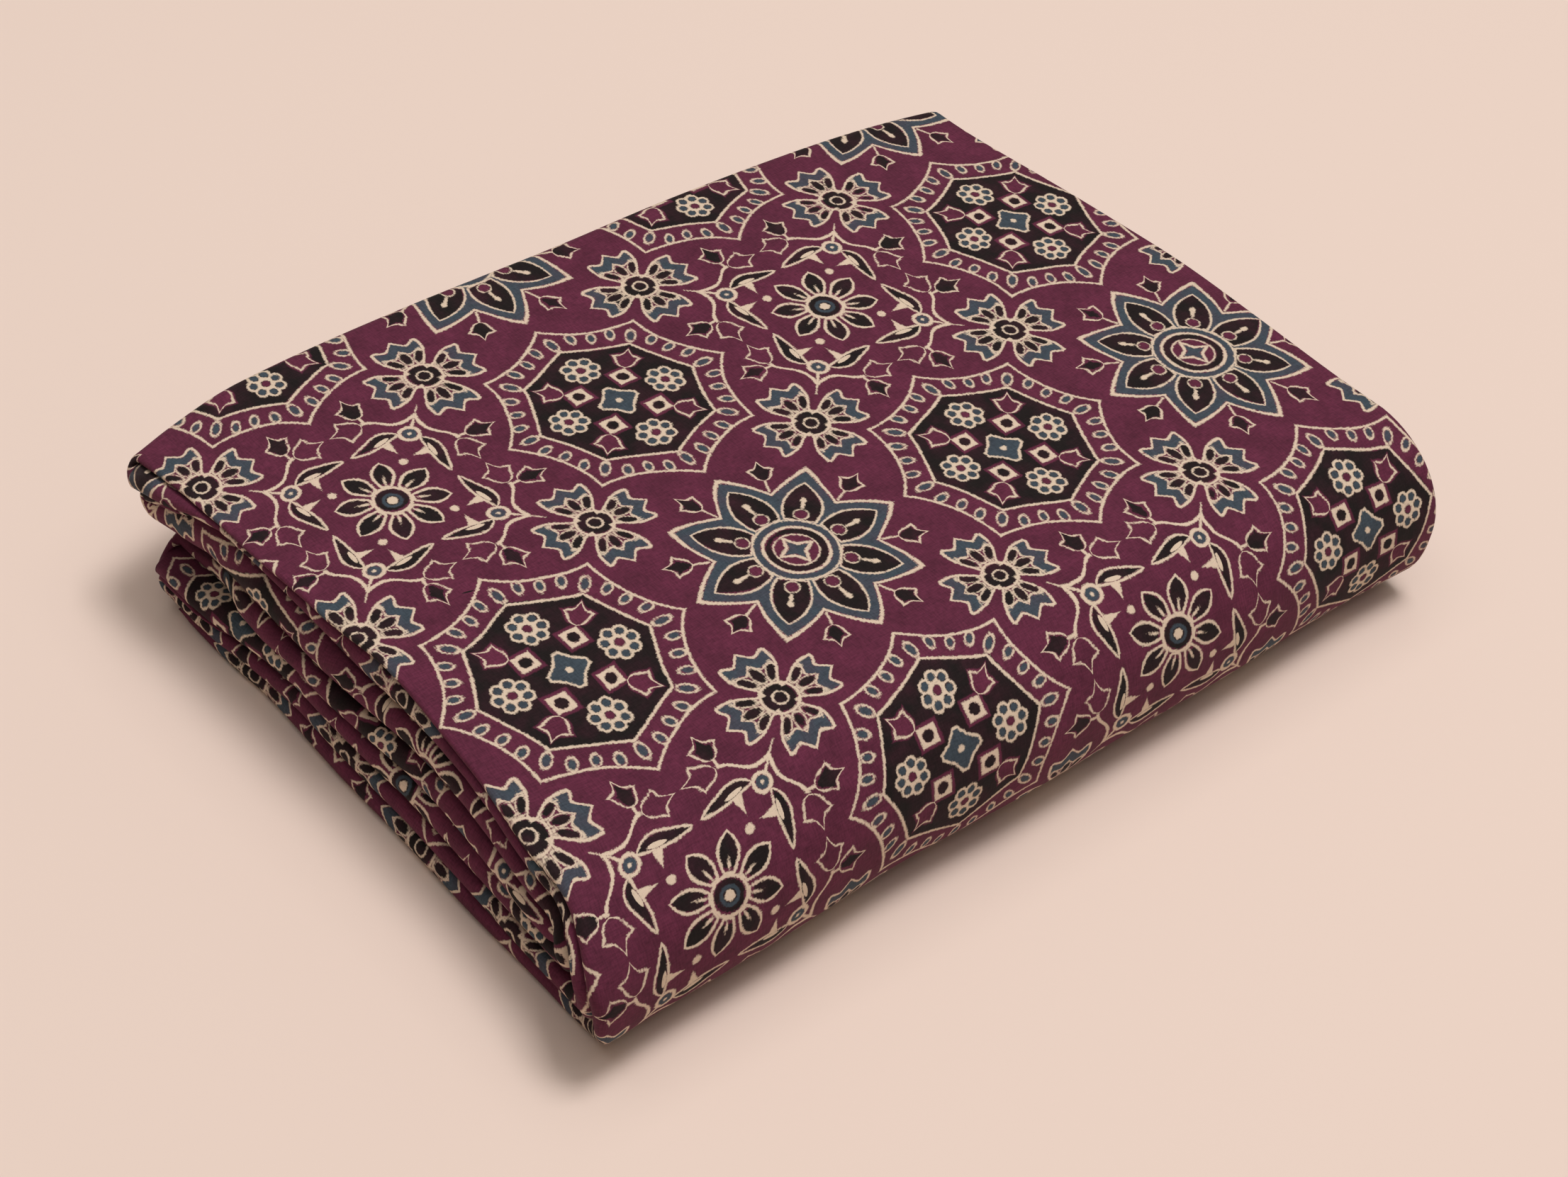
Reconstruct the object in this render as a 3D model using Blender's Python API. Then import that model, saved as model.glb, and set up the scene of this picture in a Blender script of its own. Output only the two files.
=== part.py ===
"""Folded ajrakh cloth, lying on a flat surface.

One long strip of cloth is folded back and forth, and the pile is then doubled round a soft
front fold, so that ten layers lie over each other a little apart. The strip is one solid: a
single back-and-forth section in Y and Z, carried along X through a few stations.

Frame: +X runs along the front fold, -Y is the front fold, +Z is up, and the origin is on the
surface below the middle of the bundle. Sizes are in metres.
"""

import math

import bpy
import numpy as np

# Driving sizes of the bundle
WIDTH = 0.242
DEPTH = 0.176
SHEET = 0.0030
TURNS = 5
LAYERS = 2 * TURNS
LEAST_GAP = 0.00045

# The top is highest over the left end of the front fold, and falls to the right and to the back
HIGHEST = 0.0472
FALL_TO_RIGHT = 0.0062
FALL_TO_BACK = 0.0052

# The soft front fold: how far its outermost and innermost turns reach forward of their layers,
# and how much further forward its right end stands than its left end
OUTER_REACH = 0.0213
INNER_REACH = 0.0034
FOLD_SKEW = 0.0020

# How full the lower half of the outermost turn is: 2 is a round turn, and more is boxier
SAG_POWER = 2.8

# How the top slopes down at the near corner and at the left tip
NEAR_DROOP = 0.0088
TIP_DROOP = 0.0044

# How the free room between the layers is shared out, as weights on the gaps
FOLD_HEART_WEIGHT = 2.4
PACKET_WEIGHT = 26.0
TOP_LIP_WEIGHT = 5.0

# How far the back edge draws in at its two corners, and how far a back turn reaches past the
# layers that it joins
BACK_BOW = 0.0085
BACK_TURN = 0.0037

# Each layer, from the lowest up: how far its left lip and its right end stand back from the
# ends of the bundle, near the front fold, halfway and at the back, and how far its back edge does
LAYER_COLUMNS = ("lip_front", "lip_middle", "lip_back", "right_front", "right_middle",
                 "right_back", "back")
LAYER_ROWS = (
    (0.0062, 0.0056, 0.0062, 0.0040, 0.0036, 0.0070, 0.0150),
    (0.0046, 0.0038, 0.0050, 0.0020, 0.0016, 0.0054, 0.0110),
    (0.0034, 0.0040, 0.0032, 0.0010, 0.0010, 0.0060, 0.0110),
    (0.0030, 0.0030, 0.0026, 0.0000, 0.0006, 0.0048, 0.0090),
    (0.0036, 0.0052, 0.0056, 0.0008, 0.0014, 0.0064, 0.0090),
    (0.0032, 0.0042, 0.0110, 0.0004, 0.0004, 0.0052, 0.0160),
    (0.0024, 0.0020, 0.0072, 0.0010, 0.0012, 0.0050, 0.0085),
    (0.0022, 0.0034, 0.0042, 0.0008, 0.0006, 0.0060, 0.0085),
    (0.0014, 0.0022, 0.0016, 0.0016, 0.0008, 0.0058, 0.0000),
    (0.0006, 0.0010, 0.0000, 0.0012, 0.0000, 0.0062, 0.0000),
)

# Stations along X, as shares of the way from the left lip to the right end
STATIONS = (0.05, 0.12, 0.22, 0.36, 0.54, 0.74, 0.90)

# Rounded ends of the layers: distance in from the end, and the share of the full thickness
LIP_COLUMNS = ("inside", "thickness")
LIP_ROWS = ((0.0, 0.40), (0.0009, 0.84), (0.0024, 1.0))

# Points along a layer, as shares of the way from the front fold to the back turn
ALONG = (0.0, 0.10, 0.22, 0.38, 0.56, 0.74, 0.88, 1.0)

OUTER_TURN_STEPS = 10
INNER_TURN_STEPS = 6
BACK_TURN_STEPS = 6

CLOTH_COLOUR = (0.130, 0.025, 0.062, 1.0)
CLOTH_ROUGHNESS = 0.9

LEFT = -WIDTH / 2
RIGHT = WIDTH / 2
FRONT = -DEPTH / 2
BACK = DEPTH / 2


def clear_scene():
    """Remove the objects that the scene holds."""
    for thing in list(bpy.data.objects):
        bpy.data.objects.remove(thing, do_unlink=True)


def rise(value, start, end):
    """0 before start and 1 after end, with a soft S between; start may lie after end."""
    share = min(max((value - start) / (end - start), 0.0), 1.0)
    return share * share * (3 - 2 * share)


def fold_start(x):
    """Y where the flat layers end and the turns of the front fold begin."""
    return FRONT + SHEET / 2 + OUTER_REACH + FOLD_SKEW * (RIGHT - x) / WIDTH


def shares(x, y):
    """Where a point lies in the bundle: 0 to 1 from left to right, and from fold to back."""
    start = fold_start(x)
    return (x - LEFT) / WIDTH, (y - start) / (BACK - start)


def layer_heights(x, y):
    """Heights of the ten middle lines above the surface, from the lowest layer up.

    The top falls evenly to the right and to the back, and softly at the near corner and at the
    left tip. What is left over after the sheets and their least gaps is shared out by weight:
    most of it goes to the dark gap between the lower and the upper packet, which opens towards
    the back of the left side.
    """
    across, back = shares(x, y)
    near = rise(across, 0.40, 0.0) * rise(back, 0.40, 0.0)
    tip = rise(across, 0.14, 0.0) * rise(back, 0.80, 1.0)
    even = HIGHEST - FALL_TO_RIGHT * across - FALL_TO_BACK * max(back, 0.0)
    top = even - NEAR_DROOP * near - TIP_DROOP * tip
    weights = np.ones(LAYERS - 1)
    weights[TURNS - 1] += (FOLD_HEART_WEIGHT - 1) * rise(back, 0.25, 0.0)
    weights[TURNS - 1] += PACKET_WEIGHT * rise(across, 0.42, 0.0) * rise(back, 0.30, 0.90)
    weights[LAYERS - 2] += TOP_LIP_WEIGHT * rise(across, 0.30, 0.0) * rise(back, 0.35, 0.85)
    free = top - LAYERS * SHEET - (LAYERS - 1) * LEAST_GAP
    gaps = LEAST_GAP + free * weights / weights.sum()
    return SHEET / 2 + np.concatenate(([0.0], np.cumsum(SHEET + gaps)))


def back_edge(layer, x):
    """Y of a layer's back turn, drawn in a little at both corners of the bundle."""
    inset = LAYER_ROWS[layer][LAYER_COLUMNS.index("back")]
    bow = BACK_BOW * (2 * (x - LEFT) / WIDTH - 1) ** 4
    return BACK - BACK_TURN - inset - bow


def end_positions(layer, back):
    """X of a layer's left lip and right end, at a share of the way from fold to back."""
    row = dict(zip(LAYER_COLUMNS, LAYER_ROWS[layer]))
    halfway = rise(back, 0.0, 0.5)
    late = rise(back, 0.5, 1.0)
    insets = []
    for end in ("lip", "right"):
        front, middle, rear = row[end + "_front"], row[end + "_middle"], row[end + "_back"]
        insets.append(front + (middle - front) * halfway + (rear - middle) * late)
    return LEFT + insets[0], RIGHT - insets[1]


def station_x(ends, station):
    """X of a station between a layer's two ends: a lip row at either end, or a share."""
    left, right = ends
    kind, amount = station
    if kind == "left":
        return left + amount
    if kind == "right":
        return right - amount
    return left + amount * (right - left)


def straight_run(layer, station, backwards):
    """A layer's middle line from the fold to its back turn, or back again."""
    points = []
    for share in ALONG:
        x = station_x(end_positions(layer, share), station)
        y = fold_start(x) + share * (back_edge(layer, x) - fold_start(x))
        points.append((x, y, layer_heights(x, y)[layer]))
    return points[::-1] if backwards else points


def front_turn(turn, station, upwards):
    """The half ring round the front fold, from one layer to its partner in the other packet.

    Its upper half is a quarter ellipse. Its lower half is a fuller curve, where the sine and the
    cosine are raised to 2 / power, because the fold sags towards the surface.
    """
    lower = turn
    upper = LAYERS - 1 - turn
    share = turn / (TURNS - 1)
    steps = round(OUTER_TURN_STEPS + (INNER_TURN_STEPS - OUTER_TURN_STEPS) * share)
    reach = OUTER_REACH + (INNER_REACH - OUTER_REACH) * share
    sag = 2 / (SAG_POWER + (2 - SAG_POWER) * share)
    points = []
    for step in range(1, steps):
        angle = math.pi * step / steps
        below = step / steps
        x_upper = station_x(end_positions(upper, 0.0), station)
        x_lower = station_x(end_positions(lower, 0.0), station)
        x = x_upper + (x_lower - x_upper) * below
        start = fold_start(x)
        heights = layer_heights(x, start)
        middle = (heights[upper] + heights[lower]) / 2
        half = (heights[upper] - heights[lower]) / 2
        power = sag if below > 0.5 else 1.0
        forward = math.sin(angle) ** power
        up = math.copysign(abs(math.cos(angle)) ** power, math.cos(angle))
        points.append((x, start - reach * forward, middle + half * up))
    return points[::-1] if upwards else points


def back_turn(first, second, station):
    """The half ring at the back, from a layer to the next one inside it."""
    points = []
    for step in range(1, BACK_TURN_STEPS):
        angle = math.pi * step / BACK_TURN_STEPS
        share = step / BACK_TURN_STEPS
        x_first = station_x(end_positions(first, 1.0), station)
        x_second = station_x(end_positions(second, 1.0), station)
        x = x_first + (x_second - x_first) * share
        y_edge = back_edge(first, x)
        heights = layer_heights(x, y_edge)
        middle = (heights[first] + heights[second]) / 2
        half = (heights[first] - heights[second]) / 2
        points.append((x, y_edge + abs(half) * math.sin(angle), middle + half * math.cos(angle)))
    return points


def middle_line(station):
    """The whole back-and-forth middle line at one station, from free end to free end."""
    points = []
    for turn in range(TURNS):
        lower = turn
        upper = LAYERS - 1 - turn
        upwards = turn % 2 == 0
        first, second = (lower, upper) if upwards else (upper, lower)
        points += straight_run(first, station, backwards=True)
        points += front_turn(turn, station, upwards)
        points += straight_run(second, station, backwards=False)
        if turn < TURNS - 1:
            next_layer = second - 1 if upwards else second + 1
            points += back_turn(second, next_layer, station)
    return np.array(points)


def two_faces(line, thickness):
    """The section's two sides: the middle line moved half a thickness to either side.

    The sideways direction at a point is square to the line through its two neighbours, and is
    lengthened at a bend so that the thickness stays the same.
    """
    steps = np.diff(line[:, 1:], axis=0)
    steps /= np.linalg.norm(steps, axis=1)[:, None]
    before = np.vstack((steps[:1], steps))
    after = np.vstack((steps, steps[-1:]))
    along = before + after
    along /= np.linalg.norm(along, axis=1)[:, None]
    stretch = 1 / np.sum(along * before, axis=1)
    sideways = np.column_stack((np.zeros(len(line)), -along[:, 1], along[:, 0]))
    shift = sideways * (stretch * thickness / 2)[:, None]
    return line + shift, line - shift


def stations():
    """Every station as (kind, amount) with its share of the full thickness."""
    left_lips = [(("left", inside), share) for inside, share in LIP_ROWS]
    between = [(("share", share), 1.0) for share in STATIONS]
    right_lips = [(("right", inside), share) for inside, share in reversed(LIP_ROWS)]
    return left_lips + between + right_lips


def make_cloth():
    """The closed solid: the section's outline at each station, joined and capped with quads."""
    rings = []
    for station, share in stations():
        left_face, right_face = two_faces(middle_line(station), SHEET * share)
        rings.append(np.vstack((left_face, right_face[::-1])))
    size = len(rings[0])
    half = size // 2
    faces = []
    for ring in range(len(rings) - 1):
        base = ring * size
        for point in range(size):
            after = (point + 1) % size
            faces.append((base + point, base + size + point, base + size + after, base + after))
    last = (len(rings) - 1) * size
    for point in range(half - 1):
        across = size - 1 - point
        faces.append((point, point + 1, across - 1, across))
        faces.append((last + point, last + across, last + across - 1, last + point + 1))
    mesh = bpy.data.meshes.new("cloth")
    mesh.from_pydata(np.vstack(rings).tolist(), [], faces)
    mesh.validate()
    return mesh


def cloth_material():
    """Madder and indigo dyed cotton, as one matt plum colour."""
    material = bpy.data.materials.new("dyed cotton")
    material.use_nodes = True
    shader = material.node_tree.nodes["Principled BSDF"]
    shader.inputs["Base Color"].default_value = CLOTH_COLOUR
    shader.inputs["Roughness"].default_value = CLOTH_ROUGHNESS
    shader.inputs["Metallic"].default_value = 0.0
    return material


def main():
    clear_scene()
    mesh = make_cloth()
    mesh.materials.append(cloth_material())
    mesh.shade_smooth()
    mesh.set_sharp_from_angle(angle=math.radians(50))
    bpy.context.scene.collection.objects.link(bpy.data.objects.new("cloth", mesh))


main()
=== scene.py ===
# %% [markdown]
# A folded cotton cloth, block printed in madder, indigo and black with cream resist lines. The
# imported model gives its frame: ten layers of one strip, folded back and forth and doubled round
# a soft front fold. Here the strip is made again with rounded, uneven lips, soft creases and
# its print, in the same metres and the same frame.

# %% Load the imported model
import math

import bpy
import numpy as np
from mathutils import Matrix, Vector


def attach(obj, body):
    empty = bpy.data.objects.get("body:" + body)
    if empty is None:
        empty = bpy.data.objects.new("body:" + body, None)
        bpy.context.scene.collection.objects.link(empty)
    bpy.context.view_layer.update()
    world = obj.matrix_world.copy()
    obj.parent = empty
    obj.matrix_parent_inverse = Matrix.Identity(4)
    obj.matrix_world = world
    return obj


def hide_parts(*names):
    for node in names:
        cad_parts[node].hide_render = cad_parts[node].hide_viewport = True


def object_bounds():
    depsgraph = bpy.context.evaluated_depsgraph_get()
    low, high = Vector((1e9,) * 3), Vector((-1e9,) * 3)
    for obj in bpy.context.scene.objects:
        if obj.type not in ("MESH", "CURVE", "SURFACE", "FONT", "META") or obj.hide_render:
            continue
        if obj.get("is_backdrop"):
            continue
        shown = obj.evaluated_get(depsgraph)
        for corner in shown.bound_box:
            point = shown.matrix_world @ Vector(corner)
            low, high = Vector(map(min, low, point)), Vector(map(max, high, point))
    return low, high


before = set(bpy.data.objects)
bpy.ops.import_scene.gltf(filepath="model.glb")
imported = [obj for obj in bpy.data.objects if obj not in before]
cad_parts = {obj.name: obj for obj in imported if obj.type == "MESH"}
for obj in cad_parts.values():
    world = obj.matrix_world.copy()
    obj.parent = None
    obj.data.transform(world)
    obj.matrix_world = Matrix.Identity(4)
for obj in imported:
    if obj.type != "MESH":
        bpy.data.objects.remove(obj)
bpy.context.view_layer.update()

# %% [markdown]
# The camera stands where the photograph was taken: above the near corner, looking down at
# about 44 degrees, rolled a little. A camera looks along its own -Z, so its three axes, worked
# out as unit vectors square to each other, are the columns of its matrix.

# %% Camera
CAMERA_PLACE = Vector((-0.3683, -0.3635, 0.4987))
LOOKS_ALONG = Vector((0.5131, 0.5032, -0.6954)).normalized()
PHOTO_WIDTH_PX = 2212
FOCAL_LENGTH_PX = 4500
SENSOR_MM = 36.0

to_the_right = Vector((0.7593, -0.6439, 0.0942))
to_the_right = (to_the_right - LOOKS_ALONG * to_the_right.dot(LOOKS_ALONG)).normalized()
upwards = to_the_right.cross(LOOKS_ALONG)
axes = Matrix((to_the_right, upwards, -LOOKS_ALONG)).transposed()
lens = bpy.data.cameras.new("camera")
lens.sensor_width = SENSOR_MM
lens.lens = SENSOR_MM * FOCAL_LENGTH_PX / PHOTO_WIDTH_PX
lens.clip_start = 0.01
camera = bpy.data.objects.new("camera", lens)
camera.matrix_world = Matrix.Translation(CAMERA_PLACE) @ axes.to_4x4()
bpy.context.scene.collection.objects.link(camera)
bpy.context.scene.camera = camera
print("camera lens, mm:", round(lens.lens, 2))

# %% [markdown]
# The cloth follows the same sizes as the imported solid. The bundle is highest over the left end
# of its front fold and falls away to the right and to the back, droops at the near corner, and
# its two packets of five layers open a little towards the left tip. All of these are functions
# of a place on the table, x and y, worked out for whole arrays at once.

# %% Sizes of the bundle
WIDTH, DEPTH = 0.242, 0.176
SHEET = 0.0030
TURNS, LAYERS = 5, 10
LEAST_GAP = 0.00045
HIGHEST, FALL_TO_RIGHT, FALL_TO_BACK = 0.0472, 0.0062, 0.0052
OUTER_REACH, INNER_REACH, FOLD_SKEW, SAG_POWER = 0.0213, 0.0034, 0.0020, 2.8
NEAR_DROOP, TIP_DROOP = 0.0088, 0.0044
FOLD_HEART_WEIGHT, PACKET_WEIGHT, TOP_LIP_WEIGHT = 2.4, 26.0, 5.0
BACK_BOW, BACK_TURN = 0.0085, 0.0037
LEFT, RIGHT, FRONT, BACK = -WIDTH / 2, WIDTH / 2, -DEPTH / 2, DEPTH / 2
print("bundle, mm:", WIDTH * 1000, "x", DEPTH * 1000)


# %% Heights of the layers
def rise(value, start, end):
    """3s^2 - 2s^3, where s goes from 0 at start to 1 at end."""
    share = np.clip((value - start) / (end - start), 0.0, 1.0)
    return share * share * (3 - 2 * share)


def fold_start(x):
    """Y where the flat layers end and the turns of the front fold begin."""
    return FRONT + SHEET / 2 + OUTER_REACH + FOLD_SKEW * (RIGHT - x) / WIDTH


def layer_heights(x, y):
    """Middle heights of the ten layers: the top less its slopes and droops, shared out by weight."""
    start = fold_start(x)
    across, back = (x - LEFT) / WIDTH, (y - start) / (BACK - start)
    top = HIGHEST - FALL_TO_RIGHT * across - FALL_TO_BACK * np.maximum(back, 0)
    top = top - NEAR_DROOP * rise(across, 0.40, 0.0) * rise(back, 0.40, 0.0)
    top = top - TIP_DROOP * rise(across, 0.14, 0.0) * rise(back, 0.80, 1.0)
    weights = np.ones((LAYERS - 1,) + np.shape(top))
    weights[TURNS - 1] += (FOLD_HEART_WEIGHT - 1) * rise(back, 0.25, 0.0)
    weights[TURNS - 1] += PACKET_WEIGHT * rise(across, 0.42, 0.0) * rise(back, 0.30, 0.90)
    weights[LAYERS - 2] += TOP_LIP_WEIGHT * rise(across, 0.30, 0.0) * rise(back, 0.35, 0.85)
    free = top - LAYERS * SHEET - (LAYERS - 1) * LEAST_GAP
    gaps = LEAST_GAP + free * weights / weights.sum(axis=0)
    return SHEET / 2 + np.concatenate((np.zeros((1,) + np.shape(top)), np.cumsum(SHEET + gaps, axis=0)))


print("middle heights in the centre, mm:", (layer_heights(0.0, 0.0) * 1000).round(1))

# %% [markdown]
# On the left every layer ends in a lip, where the cloth was folded in on itself. The lips are
# uneven: broad ones bulge out and thin ones stand back between them as dark creases. One table
# gives each lip's height in the stack, and one how far it stands back, in millimetres, lowest
# layer first. Over the last centimetre or so, the layers go over from their even heights to
# these. The columns are stations along the lip, from the front fold to the left tip, and the
# flares carry the lips back out to the corner where they turn round the front fold.

# %% Lips of the left side
LIP_ZONE, LIP_FULL = 0.0130, 0.0015
LIP_CREASE, LEAST_LIP_RADIUS = 0.00016, 0.0008
STATIONS = (0.0, 0.20, 0.40, 0.55, 0.76, 0.86, 0.93)
LIP_HEIGHTS = (
    (5.6, 5.5, 5.4, 6.5, 4.5, 4.4, 4.2),
    (5.2, 5.1, 5.2, 6.0, 4.2, 3.4, 3.2),
    (2.6, 1.0, 1.0, 1.0, 1.0, 2.0, 2.4),
    (5.0, 7.2, 5.5, 6.0, 6.0, 3.4, 3.2),
    (5.0, 7.6, 7.0, 5.0, 10.4, 1.8, 1.2),
    (2.4, 1.0, 1.0, 1.0, 1.0, 6.0, 7.0),
    (4.8, 6.9, 8.0, 11.5, 12.0, 9.4, 7.4),
    (2.4, 1.0, 1.0, 1.0, 1.0, 1.6, 3.0),
    (3.6, 3.7, 8.2, 3.7, 1.8, 4.2, 6.0),
    (2.8, 1.8, 1.8, 1.8, 1.6, 1.8, 2.0),
)
LIP_INSETS = (
    (7.4, 6.8, 7.0, 6.6, 7.2, 6.2, 6.0),
    (6.6, 7.2, 7.6, 6.8, 6.6, 5.2, 4.6),
    (9.5, 11.5, 12.0, 11.0, 9.5, 5.8, 4.2),
    (6.4, 7.2, 7.8, 6.4, 6.2, 4.4, 3.4),
    (5.8, 7.2, 8.4, 6.2, 5.6, 9.6, 10.4),
    (8.5, 12.0, 13.0, 11.5, 10.5, 11.6, 11.4),
    (5.8, 7.4, 8.4, 6.0, 5.4, 5.2, 5.0),
    (8.5, 12.5, 13.0, 11.5, 10.0, 5.8, 3.2),
    (5.8, 8.0, 8.4, 7.0, 6.2, 3.4, 1.6),
    (6.3, 8.4, 8.8, 7.0, 5.6, 4.9, 4.6),
)
NOSE_FLARES = (6.0, 5.8, 2.0, 3.0, 1.0)
RIGHT_STATIONS = (0.0, 0.45, 1.0)
RIGHT_INSETS = (
    (4.0, 3.6, 7.0), (2.0, 1.6, 5.4), (1.0, 1.0, 6.0), (0.0, 0.6, 4.8), (0.8, 1.4, 6.4),
    (0.4, 0.4, 5.2), (1.0, 1.2, 5.0), (0.8, 0.6, 6.0), (1.6, 0.8, 5.8), (1.2, 0.0, 6.2),
)
BACK_INSETS = (11.0, 7.5, 7.5, 6.0, 6.0, 6.5, 3.5, 3.5, 0.0, 0.0)
print("lips, mm at the middle:", [row[2] for row in LIP_HEIGHTS])


# %% From front to back along a lip
def along_table(row, back, stations=STATIONS):
    """The row's first value, plus each next step * the rise between its two stations."""
    value = row[0]
    for start, end, before, after in zip(stations, stations[1:], row, row[1:]):
        value = value + (after - before) * rise(back, start, end)
    return value


def ends_of(layer, back):
    """X of a layer's left lip and right end, at a share of the way from fold to back."""
    left = LEFT + along_table(LIP_INSETS[layer], back) / 1000
    right = RIGHT - along_table(RIGHT_INSETS[layer], back, RIGHT_STATIONS) / 1000
    return left, right


def back_edge(layer, x):
    """Y of a layer's back turn: straight in the middle, bowed in at both corners."""
    bow = BACK_BOW * (2 * (x - LEFT) / WIDTH - 1) ** 4
    return BACK - BACK_TURN - BACK_INSETS[layer] / 1000 - bow


print("front left lips, mm:", [round(float(ends_of(n, 0.0)[0]) * 1000, 1) for n in range(LAYERS)])

# %% [markdown]
# Cloth that has been folded for long keeps soft troughs and ridges. Each one here is given as a
# line (x and y of both ends) with a width and a depth: its profile across is a bell, and it fades
# out at both ends. They press the top layers most and the lower ones less.

# %% Soft creases
CREASES = (
    (-0.080, -0.060, 0.030, -0.045, 0.016, -0.0006),
    (-0.060, 0.030, 0.010, 0.075, 0.018, -0.0007),
    (0.020, 0.060, 0.105, 0.035, 0.020, 0.0006),
    (0.040, -0.030, 0.110, -0.050, 0.015, -0.0006),
    (-0.110, 0.010, -0.040, 0.000, 0.012, 0.0006),
)
RIPPLE = 0.00022
FADE_AT_LIPS = 0.6


def creases(x, y):
    """Sum of depth * exp(-(distance from the line / width)^2), fading past the line's ends."""
    total = np.zeros(np.broadcast(x, y).shape)
    for x0, y0, x1, y1, width, depth in CREASES:
        length = math.hypot(x1 - x0, y1 - y0)
        ux, uy = (x1 - x0) / length, (y1 - y0) / length
        ahead = (x - x0) * ux + (y - y0) * uy
        beside = (x - x0) * uy - (y - y0) * ux
        ends = rise(ahead, -0.3 * length, 0.2 * length) * rise(ahead, 1.3 * length, 0.8 * length)
        total = total + depth * np.exp(-((beside / width) ** 2)) * ends
    ripple = RIPPLE * np.sin(x * 74 + 2.0 * np.sin(y * 41)) * np.sin(y * 63 + 1.3)
    return total + ripple


print("creases:", len(CREASES))


# %% [markdown]
# One layer at any place now has a middle height and a half thickness. The blend between the
# even pile and the lips uses the same weight for all layers, so neighbours never meet.

# %% A layer's height and thickness
def layer_at(layer, x, y):
    """(middle height, half thickness): even pile * (1 - w) + lip table * w, w rising to the lip."""
    start = fold_start(x)
    back = (y - start) / (BACK - start)
    heights = layer_heights(x, y)
    top = heights[-1] + SHEET / 2
    tall = np.array([along_table(row, back) for row in LIP_HEIGHTS])
    edges = np.concatenate((np.zeros((1,) + tall.shape[1:]), np.cumsum(tall, axis=0)))
    edges = edges / edges[-1] * top
    face = LEFT + np.min([along_table(row, back) for row in LIP_INSETS], axis=0) / 1000
    near = rise(x, face + LIP_ZONE, face + LIP_FULL)
    lip_middle = (edges[layer] + edges[layer + 1]) / 2
    lip_half = (edges[layer + 1] - edges[layer]) / 2 - LIP_CREASE
    middle = heights[layer] * (1 - near) + lip_middle * near
    half = SHEET / 2 * (1 - near) + lip_half * near
    return middle + creases(x, y) * (layer / (LAYERS - 1)) ** 2 * (1 - near * FADE_AT_LIPS), half


print("layer 6 lip, mm:", [round(float(v) * 1000, 2) for v in layer_at(6, LEFT + 0.002, 0.0)])

# %% [markdown]
# Across the strip, the surface has columns: a few round each lip, close together, and the rest
# evenly between. At a lip the thickness follows a half circle, so the edge is round like a
# folded edge. Along the strip it has rows, most of them in the layer on top.

# %% Columns across the strip
LIP_ANGLES = np.radians((0, 14, 28, 44, 60, 76))
BETWEEN = np.concatenate((np.linspace(0.0, 0.065, 12), np.linspace(0.065, 1.0, 52)[1:]))
lip_inside = 1 - np.cos(LIP_ANGLES)
lip_thick = np.sin(LIP_ANGLES)
COLUMN_LEFT = np.concatenate((lip_inside, np.ones(len(BETWEEN)), np.ones(len(LIP_ANGLES))))
COLUMN_SHARE = np.concatenate((np.zeros(len(LIP_ANGLES)), BETWEEN, np.ones(len(LIP_ANGLES))))
COLUMN_RIGHT = np.concatenate((np.ones(len(LIP_ANGLES) + len(BETWEEN)), lip_inside[::-1]))
COLUMN_THICK = np.concatenate((lip_thick, np.ones(len(BETWEEN)), lip_thick[::-1]))
COLUMNS = len(COLUMN_THICK)
print("columns:", COLUMNS)


def columns_x(left, right, left_radius, right_radius):
    """X of each column: left + radius * (1 - cos) at the lip, shares between, the same on the right."""
    inner_left, inner_right = left + left_radius, right - right_radius
    x = left + left_radius * COLUMN_LEFT
    x = x + COLUMN_SHARE * (inner_right - inner_left)
    return x + right_radius * (1 - COLUMN_RIGHT)


# %% Flat runs of a layer
TOP_ROWS, BOTTOM_ROWS, INNER_ROWS = 64, 22, 16
CLOSER_AT_ENDS = 0.06


def rows_of(layer):
    """Shares from fold to back: many on top, fewer below, closer together at both ends."""
    rows = {LAYERS - 1: TOP_ROWS, 0: BOTTOM_ROWS}.get(layer, INNER_ROWS)
    even = np.linspace(0.0, 1.0, rows)
    return even - CLOSER_AT_ENDS * np.sin(2 * np.pi * even)


def lip_radius(layer, left, share):
    """The lip's roundness is its own half thickness, so that it ends in a half circle."""
    y = fold_start(left) + share * (back_edge(layer, left) - fold_start(left))
    return np.maximum(layer_at(layer, left + 0.001, y)[1], LEAST_LIP_RADIUS)


def flat_run(layer, backwards, fold_shift=0.0, back_shift=0.0):
    """x from the columns; y = fold start + share * (back edge - fold start); z from the layer.

    The last two rows of the result are half thickness and how far the print has moved sideways.
    """
    share = rows_of(layer)[:, None]
    left, right = ends_of(layer, share)
    x = columns_x(left, right, lip_radius(layer, left, share), SHEET / 2)
    y = fold_start(x) + share * (back_edge(layer, x) - fold_start(x))
    z, half = layer_at(layer, x, y)
    shift = fold_shift + (back_shift - fold_shift) * rise(share + 0 * x, 0.1, 1.0)
    run = np.stack((x, y, z, half * COLUMN_THICK, shift))
    return run[:, ::-1] if backwards else run


print("rows on top:", flat_run(LAYERS - 1, False).shape[1])

# %% [markdown]
# At the front fold each layer turns over into its partner in the other packet. The upper half
# of a turn is a quarter ellipse; the lower half sags, which raising sine and cosine to a power
# below one gives. At the back a layer turns into its neighbour in a small half circle. The cloth
# was not folded quite straight, so each turn shows another part of the print at its lips.

# %% Turns of the fold
PRINT_SHIFTS = (0.0, 0.004, 0.018, 0.031, 0.052)
OUTER_TURN_STEPS, INNER_TURN_STEPS, BACK_TURN_STEPS = 30, 16, 9
SWELLS = ((0.00045, 46, 0.6), (0.0003, 97, 2.1))


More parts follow.
